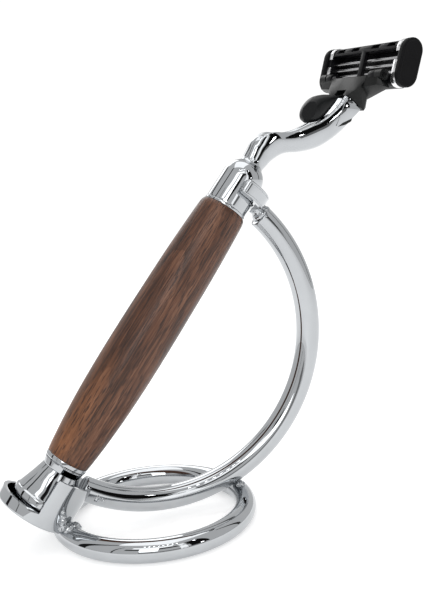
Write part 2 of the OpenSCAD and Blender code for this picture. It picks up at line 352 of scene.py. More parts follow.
def prism(bm, outline, y_from, y_to):
    """A solid with an (x, z) outline, from one Y to another."""
    verts = [bm.verts.new((x, y_from, z)) for x, z in outline]
    face = bm.faces.new(verts)
    grown = bmesh.ops.extrude_face_region(bm, geom=[face], use_keep_orig=True)
    moved = new_parts(grown, bmesh.types.BMVert)
    bmesh.ops.translate(bm, vec=(0, y_to - y_from, 0), verts=moved)
    return verts + moved


def box_outline(x_from, x_to, z_from, z_to):
    return [(x_from, z_from), (x_to, z_from), (x_to, z_to), (x_from, z_to)]


def stadium_outline(height, thickness, steps=12):
    r = thickness / 2
    rise = height / 2 - r
    return arc(0, rise, r, 0, 180, steps) + arc(0, -rise, r, 180, 360, steps)


def hull(bm, points):
    """A convex solid round some points."""
    verts = [bm.verts.new(p) for p in points]
    out = bmesh.ops.convex_hull(bm, input=verts)
    spare = {g for g in out["geom_interior"] + out["geom_unused"] if isinstance(g, bmesh.types.BMVert)}
    bmesh.ops.delete(bm, geom=list(spare), context="VERTS")
    verts = [v for v in verts if v.is_valid]
    edges = {e for v in verts for e in v.link_edges}
    bmesh.ops.dissolve_limit(bm, angle_limit=math.radians(2), verts=verts, edges=list(edges))
    return [v for v in verts if v.is_valid]


def box_corners(low, high, frame):
    return [
        frame @ Vector((x, y, z))
        for x in (low[0], high[0])
        for y in (low[1], high[1])
        for z in (low[2], high[2])
    ]


def soften(bm, offset, sharper_than=30, segments=3):
    """Rounds the sharp edges."""
    sharp = math.radians(sharper_than)
    edges = [e for e in bm.edges if e.is_manifold and e.calc_face_angle() > sharp]
    rounded(bm, edges, offset, segments, clamp=True)


def linked(name, data):
    """A new object of the scene."""
    made = bpy.data.objects.new(name, data)
    bpy.context.scene.collection.objects.link(made)
    return made


def place_piece(name, bm, frame, body, material, nodes=(), crease=32):
    """Carries a mesh to its place, gives it its finish and fixes it to its body."""
    bmesh.ops.transform(bm, matrix=frame, verts=bm.verts)
    bmesh.ops.recalc_face_normals(bm, faces=bm.faces)
    for face in bm.faces:
        face.smooth = True
    for edge in bm.edges:
        edge.smooth = not edge.is_manifold or edge.calc_face_angle() < math.radians(crease)
    mesh = bpy.data.meshes.new(name)
    bm.to_mesh(mesh)
    bm.free()
    mesh.materials.append(material)
    piece = linked(name, mesh)
    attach(piece, body)
    if nodes:
        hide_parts(*nodes)
    return piece


# ---- Finishes ----


def new_material(name):
    """A node material with object coordinates; returns it, its tree, its shader and its coordinates."""
    old = bpy.data.materials.get(name)
    if old:
        bpy.data.materials.remove(old)
    material = bpy.data.materials.new(name)
    material.use_nodes = True
    tree = material.node_tree
    shader = tree.nodes["Principled BSDF"]
    where = tree.nodes.new("ShaderNodeTexCoord").outputs["Object"]
    return material, tree, shader, where


def node(tree, kind, inputs=(), **settings):
    made = tree.nodes.new(kind)
    for key, value in settings.items():
        setattr(made, key, value)
    for key, value in dict(inputs).items():
        if isinstance(value, bpy.types.NodeSocket):
            tree.links.new(value, made.inputs[key])
        else:
            made.inputs[key].default_value = value
    return made


def rescaled(tree, value, low, high, from_low=0.0, from_high=1.0):
    return node(
        tree,
        "ShaderNodeMapRange",
        {"Value": value, "From Min": from_low, "From Max": from_high, "To Min": low, "To Max": high},
    ).outputs["Result"]


def bump(tree, height, distance_mm, before=None):
    inputs = {"Height": height, "Distance": distance_mm * MM, "Strength": 1.0}
    if before is not None:
        inputs["Normal"] = before
    return node(tree, "ShaderNodeBump", inputs).outputs["Normal"]


def mixed(tree, factor, first, second, blend="MIX"):
    made = node(tree, "ShaderNodeMix", data_type="RGBA", blend_type=blend)
    for index, value in ((0, factor), (6, first), (7, second)):
        if isinstance(value, bpy.types.NodeSocket):
            tree.links.new(value, made.inputs[index])
        else:
            made.inputs[index].default_value = value
    return made.outputs[2]


def rgba(value):
    return (value[0], value[1], value[2], 1.0)


def speckle(tree, where, per_metre, detail=2.0, rough=0.5, distort=0.0):
    inputs = {"Vector": where, "Scale": per_metre, "Detail": detail, "Roughness": rough}
    return node(tree, "ShaderNodeTexNoise", {**inputs, "Distortion": distort}).outputs["Fac"]


def chrome_finish(name, waviness_mm=0.010, grit_mm=0.0):
    """Bright plating over polished metal, with a slow waviness and faint dull clouds."""
    f = finishes()
    material, tree, shader, where = new_material(name)
    shader.inputs["Metallic"].default_value = 1.0
    clouds = speckle(tree, where, 160, 3.0)
    base = mixed(
        tree,
        rescaled(tree, clouds, 0, 1, 0.3, 0.7),
        rgba([c * 0.97 for c in f.chrome_tint]),
        rgba([min(1, c * 1.03) for c in f.chrome_tint]),
    )
    tree.links.new(base, shader.inputs["Base Color"])
    scuffs = speckle(tree, where, 900, 4.0, 0.6)
    roughness = rescaled(tree, scuffs, 0.015, f.chrome_polish, 0.45, 0.8)
    tree.links.new(roughness, shader.inputs["Roughness"])
    normal = bump(tree, speckle(tree, where, 110, 1.0), waviness_mm)
    if grit_mm:
        normal = bump(tree, speckle(tree, where, 900, 3.0, 0.6, 0.6), grit_mm, normal)
    tree.links.new(normal, shader.inputs["Normal"])
    return material


def wood_finish(name):
    """Oiled dark wood: grain along the handle, growth bands, open pores and a warm lower end."""
    f = finishes()
    material, tree, shader, where = new_material(name)
    along = node(
        tree,
        "ShaderNodeMapping",
        {
            "Vector": where,
            "Location": ON_HANDLE.translation,
            "Rotation": (0, math.atan2(HANDLE_UP.x, HANDLE_UP.z), 0),
        },
        vector_type="TEXTURE",
    ).outputs["Vector"]

    def stretched(z_scale, shift=0.0):
        return node(
            tree,
            "ShaderNodeMapping",
            {"Vector": along, "Location": (shift, shift, shift), "Scale": (1, 1, z_scale)},
        ).outputs["Vector"]

    broad = speckle(tree, stretched(0.16), 190, 2.0, 0.5, 0.4)
    sway = speckle(tree, stretched(0.25, 0.3), 95, 2.0)
    swayed = node(
        tree,
        "ShaderNodeVectorMath",
        {
            0: stretched(0.10),
            1: node(
                tree,
                "ShaderNodeCombineXYZ",
                {
                    "X": rescaled(tree, sway, -0.0012, 0.0012),
                    "Y": rescaled(tree, broad, -0.0006, 0.0006),
                },
            ).outputs["Vector"],
        },
        operation="ADD",
    ).outputs["Vector"]
    bands = node(
        tree,
        "ShaderNodeTexWave",
        {
            "Vector": swayed,
            "Scale": 150.0,
            "Distortion": 1.3,
            "Detail": 3.0,
            "Detail Scale": 1.6,
            "Detail Roughness": 0.62,
        },
        wave_type="BANDS",
        bands_direction="DIAGONAL",
        wave_profile="SAW",
    ).outputs["Fac"]
    streaks = speckle(tree, stretched(0.032, 0.7), 1700, 4.0, 0.70, 0.10)
    fibre = speckle(tree, stretched(0.030, 1.3), 4200, 2.0, 0.65)
    pores = speckle(tree, stretched(0.075, 2.1), 2600, 1.0, 0.5, 0.1)

    def plus(first, second, factor):
        return node(
            tree, "ShaderNodeMath", {0: second, 1: factor, 2: first}, operation="MULTIPLY_ADD"
        ).outputs["Value"]

    figure = plus(rescaled(tree, broad, 0.0, 0.26, 0.32, 0.68), bands, 0.18)
    figure = plus(figure, rescaled(tree, streaks, 0, 1, 0.36, 0.64), 0.42)
    figure = plus(figure, fibre, 0.22)
    ramp = node(tree, "ShaderNodeValToRGB", {"Fac": figure})
    stops = ramp.color_ramp
    stops.elements[0].position = 0.24
    stops.elements[0].color = rgba(f.wood_dark)
    stops.elements[1].position = 0.98
    stops.elements[1].color = rgba(f.wood_light)
    stops.elements.new(0.60).color = rgba(f.wood_middle)
    height = node(tree, "ShaderNodeSeparateXYZ", {"Vector": along}).outputs
    lower = rescaled(tree, height["Z"], 0.9, 0.0, 0.0, 34 * MM)
    warm = node(
        tree,
        "ShaderNodeMath",
        {0: lower, 1: rescaled(tree, height["X"], 1.0, 0.0, -5 * MM, 2 * MM)},
        operation="MULTIPLY",
        use_clamp=True,
    ).outputs["Value"]
    amber = mixed(tree, figure, rgba([c * 0.35 for c in f.wood_amber]), rgba(f.wood_amber))
    toned = mixed(tree, warm, ramp.outputs["Color"], amber)
    holes = rescaled(tree, pores, 0.0, 1.0, 0.56, 0.63)
    inked = mixed(
        tree,
        node(tree, "ShaderNodeMath", {0: holes, 1: 0.72}, operation="MULTIPLY").outputs["Value"],
        toned,
        rgba([c * 0.7 for c in f.wood_dark]),
    )
    tree.links.new(inked, shader.inputs["Base Color"])
    roughness = rescaled(tree, streaks, f.wood_gloss - 0.07, f.wood_gloss + 0.09)
    tree.links.new(roughness, shader.inputs["Roughness"])
    shader.inputs["Specular IOR Level"].default_value = 0.32
    shader.inputs["Coat Weight"].default_value = 0.16
    shader.inputs["Coat Roughness"].default_value = 0.28
    normal = bump(tree, streaks, 0.05)
    normal = bump(tree, rescaled(tree, holes, 1.0, 0.0), 0.03, normal)
    tree.links.new(normal, shader.inputs["Normal"])
    return material


def plastic_finish(name, base, roughness, grain_mm, grain_per_metre=4200, specular=0.25):
    """Moulded plastic with a fine spark-eroded grain and slight cloudiness."""
    material, tree, shader, where = new_material(name)
    clouds = speckle(tree, where, 260, 3.0, 0.6)
    tint = mixed(
        tree,
        rescaled(tree, clouds, 0, 1, 0.3, 0.7),
        rgba([c * 0.82 for c in base]),
        rgba([c * 1.2 for c in base]),
    )
    tree.links.new(tint, shader.inputs["Base Color"])
    grain = speckle(tree, where, grain_per_metre, 2.0, 0.6)
    tree.links.new(rescaled(tree, grain, roughness - 0.06, roughness + 0.1), shader.inputs["Roughness"])
    shader.inputs["Specular IOR Level"].default_value = specular
    tree.links.new(bump(tree, grain, grain_mm), shader.inputs["Normal"])
    return material


def steel_finish(name, tint, roughness, direction=(1, 0.03, 1)):
    """Drawn or ground steel with fine lines along one direction."""
    material, tree, shader, where = new_material(name)
    shader.inputs["Metallic"].default_value = 1.0
    run = node(tree, "ShaderNodeMapping", {"Vector": where, "Scale": direction}).outputs["Vector"]
    lines = speckle(tree, run, 6000, 3.0, 0.6)
    base = mixed(
        tree, rescaled(tree, lines, 0, 1, 0.3, 0.7), rgba([c * 0.86 for c in tint]), rgba(tint)
    )
    tree.links.new(base, shader.inputs["Base Color"])
    tree.links.new(rescaled(tree, lines, roughness * 0.7, roughness * 1.3), shader.inputs["Roughness"])
    tree.links.new(bump(tree, lines, 0.004), shader.inputs["Normal"])
    return material


def strip_finish(name):
    """Waxy strip, paler where it is worn."""
    f = finishes()
    material, tree, shader, where = new_material(name)
    worn = speckle(tree, where, 500, 4.0, 0.6)
    pale = [0.5 + 0.5 * c for c in f.strip_pale]
    tree.links.new(
        mixed(tree, rescaled(tree, worn, 0, 1, 0.4, 0.75), rgba(f.strip_pale), rgba(pale)),
        shader.inputs["Base Color"],
    )
    shader.inputs["Roughness"].default_value = 0.5
    shader.inputs["Subsurface Weight"].default_value = 0.1
    shader.inputs["Subsurface Radius"].default_value = (0.001, 0.001, 0.001)
    shader.inputs["Subsurface Scale"].default_value = 1.0
    tree.links.new(bump(tree, worn, 0.02), shader.inputs["Normal"])
    return material


def shared(name, make, *settings):
    """A finish that several pieces take; it is made once in a run."""
    return bpy.data.materials.get(name) or make(name, *settings)


def chrome():
    return shared("chrome_plating", chrome_finish)


def steel():
    return shared("drawn_steel", steel_finish, finishes().steel_tint, 0.28)


# ---- Pieces of the stand ----


def press_out_of_cup(bm):
    """Presses whatever lies inside the cup back into its wall or its floor."""
    s = sizes()
    reach = mm(s.cup_radius) - mm(s.cup_wall) / 2
    floor = CUP_BASE + CUP_FLOOR / 2
    frame = ON_STAND.inverted() @ ON_CRADLE @ Matrix.Translation((CUP_SHIFT, 0, 0))
    back = frame.inverted()
    for v in bm.verts:
        p = back @ v.co
        r = math.hypot(p.x, p.y)
        if r < reach and p.z > floor:
            if p.z - floor < reach - r:
                p.z = floor
            else:
                p.xy *= reach / r
            v.co = frame @ p


def make_foot_ring():
    s = sizes()
    radius, rod, flat = mm(s.ring_radius), mm(s.ring_rod), mm(s.ring_flat)
    bm = bmesh.new()
    section = bmesh.ops.create_circle(
        bm,
        segments=64,
        radius=rod / 2,
        matrix=Matrix.Translation((radius, 0, rod / 2 - flat)) @ Matrix.Rotation(math.pi / 2, 4, "X"),
    )["verts"]
    spun(bm, section + linked_edges(section), steps=240)
    bmesh.ops.remove_doubles(bm, verts=bm.verts, dist=1e-4)
    bmesh.ops.recalc_face_normals(bm, faces=bm.faces)
    sliced(bm, (0, 0, 0), (0, 0, 1), clear_inner=True)
    bmesh.ops.bridge_loops(bm, edges=[e for e in bm.edges if e.is_boundary])
    press_out_of_cup(bm)
    place_piece("foot_ring_rod", bm, ON_STAND, "stand", chrome(), ["foot_ring"])


def make_arc_rod():
    s = sizes()
    centre = Vector((5.5, 0, 51))
    start, end = math.radians(-124), math.radians(45)
    back = (0, -1, 0)
    bm = bmesh.new()
    section = bmesh.ops.create_circle(
        bm,
        segments=64,
        radius=mm(s.arc_rod) / 2,
        matrix=Matrix.Translation(centre)
        @ Matrix.Rotation(start, 4, back)
        @ Matrix.Translation((mm(s.arc_radius), 0, 0)),
    )["verts"]
    spun(bm, section + linked_edges(section), centre, back, end - start, 180, merge=False)
    bmesh.ops.remove_doubles(bm, verts=bm.verts, dist=1e-4)
    bmesh.ops.holes_fill(bm, edges=[e for e in bm.edges if e.is_boundary])
    bmesh.ops.recalc_face_normals(bm, faces=bm.faces)
    caps = [f for f in bm.faces if len(f.verts) > 8]
    rounded(bm, [e for f in caps for e in f.edges], mm(s.arc_chamfer), 4)
    place_piece("arc_bent_rod", bm, ON_STAND, "stand", chrome(), ["arc_rod"])


def make_cup():
    s = sizes()
    cut = -2 - CUP_SHIFT
    radius, rim, tall = mm(s.cup_radius), mm(s.cup_rim), mm(s.cup_height)
    corner = 0.8
    bm = bmesh.new()
    turned(
        bm,
        [(0, 0), (4, 0)]
        + arc(radius - corner, corner, corner, -90, 0, 6)
        + [(radius, z) for z in (rim - 0.45, rim, rim + 0.45, (rim + tall) / 2, tall - 0.45, tall)],
    )
    bmesh.ops.recalc_face_normals(bm, faces=bm.faces)
    for x in (cut - 0.45, cut, cut + 0.45):
        sliced(bm, (x, 0, 0), (1, 0, 0))
    open_side = [
        f
        for f in bm.faces
        if f.calc_center_median().x < cut and f.calc_center_median().z > rim
    ]
    bmesh.ops.delete(bm, geom=open_side, context="FACES")
    bmesh.ops.solidify(bm, geom=bm.faces[:], thickness=mm(s.cup_wall))
    soften(bm, 0.28, sharper_than=50)
    frame = ON_CRADLE @ Matrix.Translation((CUP_SHIFT, 0, CUP_BASE))
    place_piece("cradle_cup_wall", bm, frame, "stand", chrome(), ["cradle_cup"])


FORK_FOOT = 86.3  # along the handle
COLLAR_LEAN = 17 - 90  # from the handle's axis, in degrees
PRONG_STEP = 12.5  # turn of each step of a prong's rounded end, in degrees


def make_fork():
    s = sizes()
    inner, outer, tall = mm(s.fork_inner), mm(s.fork_outer), mm(s.fork_height)
    corner, line, groove = 0.3, 0.62, 0.11
    outline = (
        arc(inner + corner, corner, corner, 180, 270, 4)
        + arc(outer - corner, corner, corner, 270, 360, 4)
        + arc(outer, line, groove, 250, 110, 5)
        + arc(outer, tall - line, groove, 250, 110, 5)
        + arc(outer - corner, tall - corner, corner, 0, 90, 4)
        + arc(inner + corner, tall - corner, corner, 90, 180, 4)
    )
    bm = bmesh.new()
    section = [bm.verts.new((0, -r, z)) for r, z in outline]
    face = bm.faces.new(section)
    spun(bm, [face], angle=math.pi, steps=72, merge=False)
    bmesh.ops.remove_doubles(bm, verts=bm.verts, dist=1e-4)
    half = (outer - inner) / 2
    for side in (-1, 1):
        middle_of_prong = Vector((0, side * (inner + half), tall / 2))
        ends = [
            f
            for f in bm.faces
            if len(f.verts) > 8 and f.calc_center_median().y * side > 0
        ]
        reached = 0.0
        narrowed = 1.0
        for i in range(1, 8):
            turn = math.radians(i * PRONG_STEP)
            grown = bmesh.ops.extrude_face_region(bm, geom=ends)
            bmesh.ops.delete(bm, geom=ends, context="FACES_ONLY")
            moved = new_parts(grown, bmesh.types.BMVert)
            ends = new_parts(grown, bmesh.types.BMFace)
            out, thin = math.sin(turn) * half, math.cos(turn)
            bmesh.ops.translate(bm, vec=(reached - out, 0, 0), verts=moved)
            bmesh.ops.scale(
                bm,
                vec=(1, thin / narrowed, (0.55 + 0.45 * thin) / (0.55 + 0.45 * narrowed)),
                space=Matrix.Translation(-middle_of_prong),
                verts=moved,
            )
            reached, narrowed = out, thin
    frame = ON_CRADLE @ Matrix.Translation((0, 0, FORK_FOOT))
    place_piece("rest_fork_band", bm, frame, "stand", chrome(), ["rest_fork"])

    bm = bmesh.new()
    turned(
        bm,
        [(0, 0), (2.4, 0)]
        + flowing([(2.75, 0.3), (2.9, 0.9), (2.75, 1.5), (2.35, 2.1), (2.25, 2.6), (2.4, 3.4)], 4)
        + [(0, 3.4)],
        steps=64,
    )
    for v in bm.verts:
        v.co += v.co.normalized() * 0.14 * noise.noise(v.co * 1.1)
    lean = Matrix.Rotation(math.radians(COLLAR_LEAN), 4, "Y")
    frame = ON_CRADLE @ Matrix.Translation((11.2, 0, 86.2)) @ lean
    place_piece("fork_collar_braze", bm, frame, "stand", brazed(), ["fork_collar"])


def brazed():
    return shared("plated_braze", chrome_finish, 0.03, 0.03)


def make_braze():
    """Lumps of braze at each joint of the rods and the cup."""
    bm = bmesh.new()
    mirrored = (
        ((-23.8, 6.4, 4.6), 1.9),
        ((-25.6, 8.2, 5.6), 1.5),
        ((-27.3, 8.9, 6.8), 1.25),
        ((-27.1, 9.2, 8.3), 1.05),
        ((-26.9, 9.5, 9.8), 0.85),
        ((-26.9, 9.8, 11.2), 0.6),
        ((-16.4, 2.1, 10.6), 1.7),
        ((-14.7, 2.5, 9.8), 1.2),
        ((25.6, 2.6, 5.6), 1.4),
    )
    lumps = [((-17.9, 0, 11.6), 3.3)]
    lumps += [((x, side * y, z), radius) for (x, y, z), radius in mirrored for side in (-1, 1)]
    for place, radius in lumps:
        lump = bmesh.ops.create_icosphere(
            bm, subdivisions=4, radius=radius * 0.94, matrix=Matrix.Translation(place)
        )["verts"]
        for v in lump:
            outward = (v.co - Vector(place)).normalized()
            v.co += outward * (0.26 * noise.noise(v.co * 1.3) + 0.15 * noise.noise(v.co * 3.4))
    press_out_of_cup(bm)
    place_piece("braze_lumps", bm, ON_STAND, "stand", brazed(), ["braze_beads"])


# ---- Pieces of the handle ----


def make_fittings():
    """Bell, ferrules and washer, each turned about the handle's axis."""
    r = mm(sizes().ferrule_radius)
    waist = 5.4
    bell = (
        [(0, -15.65), (4, -15.65), (6.2, -15.65)]
        + arc(6.9, -14.05, 1.6, -60, 0, 8)
        + [(8.5, -12.3)]
        + arc(7.95, -11.75, 0.55, 0, 62, 6)
        + flowing(
            [(8.05, -10.95), (7.55, -9.6), (6.95, -8.0), (6.4, -6.4), (5.9, -4.8), (5.42, -3.4)], 5
        )
        + [(4.6, -3.32), (0, -3.32)]
    )
    lower = (
        [(0, -3.4), (waist - 0.1, -3.4), (waist, -3.3)]
        + flowing([(waist + 0.06, -3.1), (5.68, -2.3), (5.86, -1.62)], 4)
        + [(5.84, -1.52), (5.62, -1.44), (5.62, -1.34), (5.92, -1.26)]
        + arc(r - 0.22, -0.95, 0.22, -60, 0, 4)
        + arc(r - 0.12, -0.14, 0.12, 0, 80, 3)
        + [(0, 0)]
    )
    upper = (
        [(0, 82.0), (r - 0.15, 82.0)]
        + arc(r - 0.15, 82.15, 0.15, -60, 0, 3)
        + flowing([(r, 82.6), (6.06, 86), (6.0, 89), (5.98, 91)], 5)[:-1]
        + arc(0, 91, 5.98, 0, 52, 22)
        + [(3.5, 95.95), (3.35, 96.4), (3.3, 97.4), (0, 97.4)]
    )
    washer = (
        [(0, 81.2), (r + 0.05, 81.2)]
        + arc(r, 81.4, 0.2, -60, 0, 3)
        + arc(r, 81.8, 0.2, 0, 60, 3)
        + [(r + 0.05, 82), (0, 82)]
    )
    for name, profile, nodes in (
        ("bell_foot", bell, ["end_bell"]),
        ("ferrule_lower", lower, ["lower_ferrule"]),
        ("ferrule_upper", upper, ["upper_ferrule"]),
        ("washer_bright", washer, ["grip_washer"]),
    ):
        bm = bmesh.new()
        turned(bm, profile, steps=144)
        place_piece(name, bm, ON_HANDLE, "handle", chrome(), nodes)


def make_grip():
    s = sizes()
    tall = mm(s.grip_length)
    full = mm(s.grip_radius) / 8
    belly = flowing(
        [
            (6.12, 0.25),
            (6.5, 3.2),
            (7.15, 10),
            (7.7, 19),
            (7.98, 30),
            (8.0, 41),
            (7.88, 51),
            (7.68, 62),
            (7.35, 71),
            (7.05, 77.2),
            (6.85, 79.9),
            (6.62, tall - 0.35),
        ],
        8,
    )
    bm = bmesh.new()
    turned(
        bm,
        [(0, 0), (5.95, 0)]
        + [(x * full, z) for x, z in belly]
        + [(6.45, tall - 0.06), (6.2, tall), (0, tall)],
        steps=160,
    )
    wood = shared("oiled_wood", wood_finish)
    place_piece("grip_turned", bm, ON_HANDLE, "handle", wood, ["grip_barrel"])


def make_inner_parts():
    """Coil springs, steel for the stud and the pins, and the dock's plastic for the plunger."""
    for name, x, z_from, z_to, radius, turns in (
        ("button_spring", 13.5, 121.2, 124.9, 0.95, 6),
        ("plunger_spring", 17.2, 119.4, 121.7, 1.1, 4),
    ):
        rise = (z_to - z_from) / (turns * 16)
        stations = [
            Matrix.Translation((x, 0, z_from + rise * i))
            @ Matrix.Rotation(math.tau * i / 16, 4, "Z")
            @ Matrix.Translation((radius, 0, 0))
            @ Matrix.Rotation(math.pi / 2, 4, "X")
            @ Matrix.Diagonal((0.18, 0.18, 1, 1))
            for i in range(turns * 16 + 1)
        ]
        bm = bmesh.new()
        swept(bm, stations, [oval(2, 10)] * len(stations))
        place_piece(f"{name}_coil", bm, ON_HANDLE, "handle", steel(), [name])
    for name in ("tie_stud", "pivot_pins"):
        FRAME["nodes"][name].data.materials.clear()
        FRAME["nodes"][name].data.materials.append(steel())
    FRAME["nodes"]["plunger"].data.materials.clear()
    FRAME["nodes"]["plunger"].data.materials.append(dock_plastic())


# Side view of the neck: where its rim and its underside lie, and half its width
NECK = (
    ((-3.3, 95.8), (3.3, 95.8), 3.3),
    ((-3.55, 98.6), (3.85, 98.2), 3.2),
    ((-3.85, 101.2), (4.3, 100.3), 3.1),
    ((-3.5, 103.4), (5.0, 102.0), 3.1),
    ((-2.4, 105.3), (5.8, 103.6), 3.1),
    ((-0.6, 107.0), (6.8, 104.9), 3.1),
    ((1.5, 108.4), (8.0, 106.0), 3.1),
    ((3.5, 109.8), (9.6, 107.2), 3.15),
    ((5.3, 111.4), (11.4, 108.8), 3.25),
    ((6.8, 113.2), (13.2, 110.6), 3.45),
    ((8.1, 115.2), (14.9, 112.7), 3.7),
    ((9.3, 117.3), (16.3, 115.1), 3.95),
    ((10.3, 119.5), (17.5, 117.8), 4.15),
    ((11.1, 121.9), (18.5, 120.7), 4.3),
    ((11.75, 124.3), (19.15, 123.6), 4.38),
    ((12.1, 126.6), (19.5, 126.3), 4.4),
    ((12.2, 128.95), (19.6, 128.95), 4.4),
)
# Half of the neck's section, from the middle of its dished top to its underside
RIMMED = (
    (-0.84, 0.0), (-0.84, 0.40), (-0.87, 0.60), (-0.95, 0.69), (-0.99, 0.74), (-1.0, 0.79),
    (-0.97, 0.84), (-0.90, 0.88), (-0.80, 0.92), (-0.70, 0.945), (-0.58, 0.965), (-0.46, 0.98),
    (-0.32, 0.99), (-0.14, 1.0), (0.12, 0.975), (0.36, 0.90), (0.58, 0.78), (0.76, 0.61),
    (0.89, 0.42), (0.97, 0.21), (1.0, 0.0),
)


def flowing_stations(rows, steps):
    """Stations along a smooth side view given as (upper, lower, half width) rows."""
    uppers = flowing([(*upper, wide) for upper, lower, wide in rows], steps)
    lowers = flowing([(*lower, 0) for upper, lower, wide in rows], steps)
    return [side_station(a[:2], b[:2], a[2]) for a, b in zip(uppers, lowers)]


def make_neck():
    s = sizes()
    wider = mm(s.neck_width) / 6.2
    steps = 7
    stations = flowing_stations([(u, l, w * wider) for u, l, w in NECK], steps)
    rimmed = list(RIMMED) + [(x, -y) for x, y in RIMMED[-2:0:-1]]
    sections = []
    for i in range(len(stations)):
        t = min(1.0, max(0.0, (i / steps - 2.2) / 3.2))
        t = t * t * (3 - 2 * t)
        section = []
        for x, y in rimmed:
            a = math.atan2(y, x)
            section.append(((1 - t) * math.cos(a) + t * x, (1 - t) * math.sin(a) + t * y))
        sections.append(section)
    bm = bmesh.new()
    swept(bm, stations, sections)
    half = mm(s.tip_width) / 2
    for side in (-1, 1):
        plate = [(13.1, 128.8), (18.6, 128.8), (17.75, 125.1), (14.5, 120.0), (12.95, 126.4)]
        verts = prism(bm, plate, side * (half - 1.2), side * (half - 0.03))
        rounded(bm, linked_edges(verts), 0.16, 2)
    place_piece("neck_s_bend", bm, ON_HANDLE, "handle", chrome(), ["neck"], crease=40)

    # painted shade: a sliver of the dock's dark plastic below each plate stands in for the shade in the
    # recess under it
    bm = bmesh.new()
    for side in (-1, 1):
        shade_sliver = [(14.4, 119.7), (17.8, 125.4), (18.15, 124.3), (17.1, 122.3), (14.9, 119.9)]
        prism(bm, shade_sliver, side * (half - 1.3), side * (half - 0.42))
    soften(bm, 0.08, sharper_than=40, segments=2)
    place_piece("neck_recess_shade", bm, ON_HANDLE, "handle", dock_plastic())


def make_button():
    """Teardrop thumb button with a flat facet at its lower end."""
    rows = (
        ((7.5, 116.0), (8.5, 116.75), 0.8),
        ((5.9, 116.4), (9.2, 117.35), 2.1),
        ((4.9, 117.8), (10.0, 118.3), 3.0),
        ((4.45, 119.6), (10.7, 119.7), 3.35),
        ((4.6, 121.6), (11.2, 121.2), 3.35),
        ((5.4, 123.6), (11.5, 122.9), 3.3),
        ((7.0, 125.5), (11.7, 124.6), 3.1),
        ((8.9, 127.0), (11.8, 126.2), 2.75),
        ((10.4, 127.9), (11.9, 127.6), 2.05),
    )
    bm = bmesh.new()
    stations = flowing_stations(rows, 8)
    swept(bm, stations, [oval(2.35)] * len(stations))
    cut = sliced(bm, (5.8, -1.95, 119.6), (-0.75, -0.60, -0.28), clear_outer=True)
    rim = [g for g in cut["geom_cut"] if isinstance(g, bmesh.types.BMEdge)]
    bmesh.ops.holes_fill(bm, edges=rim)
    bmesh.ops.recalc_face_normals(bm, faces=bm.faces)
    stem = prism(bm, box_outline(11.1, 12.6, 117.5, 120.9), -1.4, 1.4)
    rounded(bm, linked_edges(stem), 0.15, 2)
    black = finishes().button_black
    satin = shared("button_satin", plastic_finish, black, 0.28, 0.012, 4200, 0.2)
    place_piece(
        "thumb_button",
        bm,
        ON_HANDLE,
        "button",
        satin,
        ["release_button"],
        crease=24,
    )


# ---- Pieces of the head ----

RAIL_REACH, BLADE_REACH, STRIP_REACH = 15.8, 15.7, 14.95  # half lengths
BLADE_PITCH, LOWEST_BLADE = 2, -2.3


def dock_plastic():
    grey = finishes().dock_grey
    return shared("dock_moulding", plastic_finish, grey, 0.34, 0.010, 4200, 0.22)


def make_dock():
    """Dock that spreads from the neck's tip to the pivots, with a notch over the button's point."""
    to_head = ON_HANDLE.inverted() @ ON_HEAD
    still = Matrix.Identity(4)
    stem, tip_x, tip_t, half = 129.15, 15.9, 7.4, 4.5
    bm = bmesh.new()
    hull(
        bm,
        box_corners((tip_x - tip_t / 2, -half, stem), (tip_x + tip_t / 2, half, stem + 1), still)
        + box_corners((tip_x - tip_t / 2, -6.8, stem + 1.8), (tip_x - 1.3, 6.8, stem + 2.4), still)
        + box_corners((tip_x - 2.6, -half, stem + 2.4), (tip_x + 2.6, half, stem + 2.9), still)
        + box_corners((-5.8, -8, -6.1), (-4.0, 8, -4.5), to_head),
    )
    for y in (-2.2, 2.2):
        sliced(bm, (0, y, 0), (0, 1, 0))
    sliced(bm, (0, 0, stem + 1.9), (0, 0, 1))
    top = tip_x - tip_t / 2
    mouth = [
        f
        for f in bm.faces
        if abs(f.calc_center_median().y) < 2
        and f.calc_center_median().z < stem + 1.8
        and f.calc_center_median().x < top + 1
        and f.normal.x < -0.3
    ]
    sunk = bmesh.ops.extrude_face_region(bm, geom=mouth)
    bmesh.ops.delete(bm, geom=mouth, context="FACES_ONLY")
    bmesh.ops.translate(bm, vec=(1.6, 0, 0), verts=new_parts(sunk, bmesh.types.BMVert))
    bmesh.ops.recalc_face_normals(bm, faces=bm.faces)
    soften(bm, mm(sizes().edge_round), sharper_than=22)

    hull(
        bm,
        box_corners((tip_x - 2.6, -half, stem + 3), (tip_x + 2.6, half, stem + 3.5), still)
        + box_corners((-5.8, -13.4, -7.3), (-4.2, 13.4, -4.4), to_head)
        + box_corners((-4.2, -14.6, -7.3), (-2.0, 14.6, -7.0), to_head),
    )
    for side in (-1, 1):
        cheek = arc(-4.6, -4.2, 1.6, 0, 360, 24)[:-1]
        verts = prism(bm, cheek, side * 11.8, side * 14.6)
        bmesh.ops.transform(bm, matrix=to_head, verts=verts)
    sharp = math.radians(28)
    long_edges = [
        e
        for e in bm.edges
        if e.is_manifold and e.calc_length() > 1.0 and e.calc_face_angle() > sharp
    ]
    rounded(bm, long_edges, 0.16, 2, clamp=True)
    place_piece(
        "dock_moulded",
        bm,
        ON_HANDLE,
        "dock",
        dock_plastic(),
        ["cartridge_dock"],
        crease=20,
    )


def cartridge_plastic():
    black = finishes().frame_black
    return shared("cartridge_moulding", plastic_finish, black, 0.34, 0.008, 4200, 0.16)


